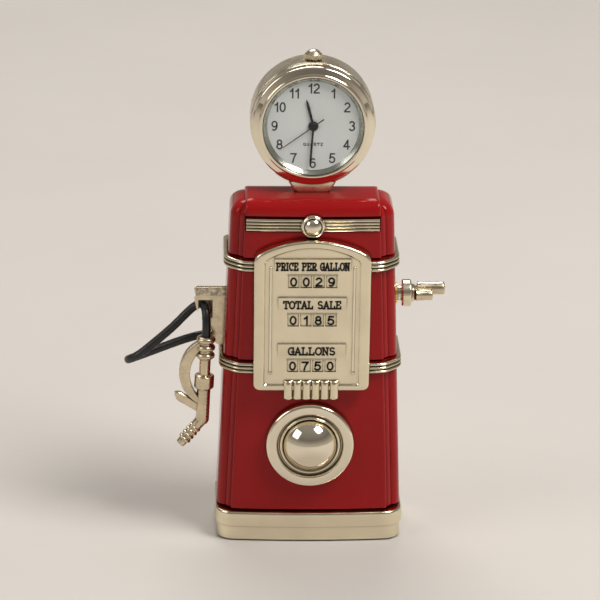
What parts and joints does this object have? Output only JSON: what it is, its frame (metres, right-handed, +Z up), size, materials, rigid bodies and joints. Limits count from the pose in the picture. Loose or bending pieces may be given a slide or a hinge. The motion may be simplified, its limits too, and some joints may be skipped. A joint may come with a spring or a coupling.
{
  "type": "petrol pump desk clock",
  "caption": "Miniature petrol pump desk clock: enamelled body on a plated plinth, register plate, hose with nozzle, crank, and a round quartz clock as the globe.",
  "frame": {"origin": "middle of the felt pad's underside, where the clock stands", "axes": "+Z up to the crown, -Y out of the dial towards the viewer, +X to the viewer's right, where the crank is"},
  "size_m": [0.0713, 0.0263, 0.1107],
  "materials": {
    "red_enamel": "gloss",
    "chrome_plate": "polished",
    "satin_plate": "satin",
    "steel": "satin",
    "brass": "machined",
    "felt": "felt",
    "black_rubber": "semi-gloss",
    "glass": "polished",
    "dial_card": "matt",
    "black_paint": "semi-gloss",
    "white_plastic": "matt",
    "black_plastic": "matt",
    "copper_wire": "lacquered",
    "board": "matt"
  },
  "bodies": {
    "pump": {"felt_pad": "felt", "base_plinth": "chrome_plate", "base_screws": "steel", "body_shell": "red_enamel", "upper_band": "chrome_plate", "lower_band": "chrome_plate", "top_bar": "chrome_plate", "top_medallion": "chrome_plate", "register_plate": "satin_plate", "hubcap_ring": "chrome_plate", "hubcap_dome": "chrome_plate", "holster": "satin_plate", "head_neck": "chrome_plate", "head_cradle": "chrome_plate", "neck_screw": "steel", "crank_bushing": "brass", "hose_ferrule": "chrome_plate", "hose": "black_rubber", "clock_case": "chrome_plate", "case_back": "steel", "bezel": "chrome_plate", "crystal": "glass", "rehaut_ring": "satin_plate", "dial": "dial_card", "movement_holder": "white_plastic", "main_plate": "black_plastic", "train_bridge": "steel", "bridge_posts": "steel", "battery": "steel", "battery_clip": "steel", "coil": "copper_wire", "stator": "steel", "circuit_board": "board", "crown_tube": "brass", "minute_stud": "steel"},
    "seconds": {"second_hand": "black_paint", "seconds_wheel": "brass"},
    "third": {"third_wheel": "brass"},
    "fifth": {"fifth_wheel": "white_plastic"},
    "rotor": {"rotor": "steel"},
    "minutes": {"minute_hand": "black_paint", "centre_wheel": "brass"},
    "motion": {"minute_wheel": "brass"},
    "hours": {"hour_hand": "black_paint", "hour_wheel": "brass"},
    "stem": {"stem": "steel"},
    "crown": {"crown": "chrome_plate"},
    "crank": {"crank_shaft": "chrome_plate", "crank_collar": "chrome_plate", "crank_handle": "chrome_plate", "crank_clip": "steel"},
    "nozzle": {"nozzle_body": "chrome_plate", "nozzle_spout": "chrome_plate", "nozzle_guard": "chrome_plate", "nozzle_lever": "chrome_plate"}
  },
  "joints": [
    {"name": "seconds_spin", "type": "hinge", "parent": "pump", "child": "seconds", "pos_m": [0, 0, 0.0948], "axis": [0, -1, 0], "continuous": true},
    {"name": "third_spin", "type": "hinge", "parent": "pump", "child": "third", "pos_m": [-0.00288, 0, 0.09375], "axis": [0, -1, 0], "continuous": true},
    {"name": "fifth_spin", "type": "hinge", "parent": "pump", "child": "fifth", "pos_m": [0.0029, 0, 0.09345], "axis": [0, -1, 0], "continuous": true},
    {"name": "rotor_spin", "type": "hinge", "parent": "pump", "child": "rotor", "pos_m": [0.00255, 0, 0.09144], "axis": [0, -1, 0], "continuous": true},
    {"name": "minutes_spin", "type": "hinge", "parent": "pump", "child": "minutes", "pos_m": [0, 0, 0.0948], "axis": [0, -1, 0], "continuous": true},
    {"name": "motion_spin", "type": "hinge", "parent": "pump", "child": "motion", "pos_m": [0, 0, 0.0972], "axis": [0, -1, 0], "continuous": true},
    {"name": "hours_spin", "type": "hinge", "parent": "pump", "child": "hours", "pos_m": [0, 0, 0.0948], "axis": [0, -1, 0], "continuous": true},
    {"name": "crown_pull", "type": "slide", "parent": "pump", "child": "stem", "axis": [0, 0, 1], "range_m": [0, 0.001]},
    {"name": "crown_turn", "type": "hinge", "parent": "stem", "child": "crown", "pos_m": [0, 0.0019, 0.1085], "axis": [0, 0, 1], "continuous": true},
    {"name": "crank_turn", "type": "hinge", "parent": "pump", "child": "crank", "pos_m": [0.02, 0.001, 0.055], "axis": [1, 0, 0], "continuous": true},
    {"name": "nozzle_swing", "type": "hinge", "parent": "pump", "child": "nozzle", "pos_m": [-0.0231, -0.0041, 0.046], "axis": [0, 1, 0], "range_deg": [-2, 12], "deforming": ["hose"]}
  ],
  "couplings": [
    {"joint": "third_spin", "follows": "seconds_spin", "ratio": -0.13333},
    {"joint": "fifth_spin", "follows": "seconds_spin", "ratio": -4},
    {"joint": "rotor_spin", "follows": "seconds_spin", "ratio": 30},
    {"joint": "minutes_spin", "follows": "seconds_spin", "ratio": 0.016667},
    {"joint": "motion_spin", "follows": "seconds_spin", "ratio": -0.0055556},
    {"joint": "hours_spin", "follows": "seconds_spin", "ratio": 0.0013889}
  ]
}
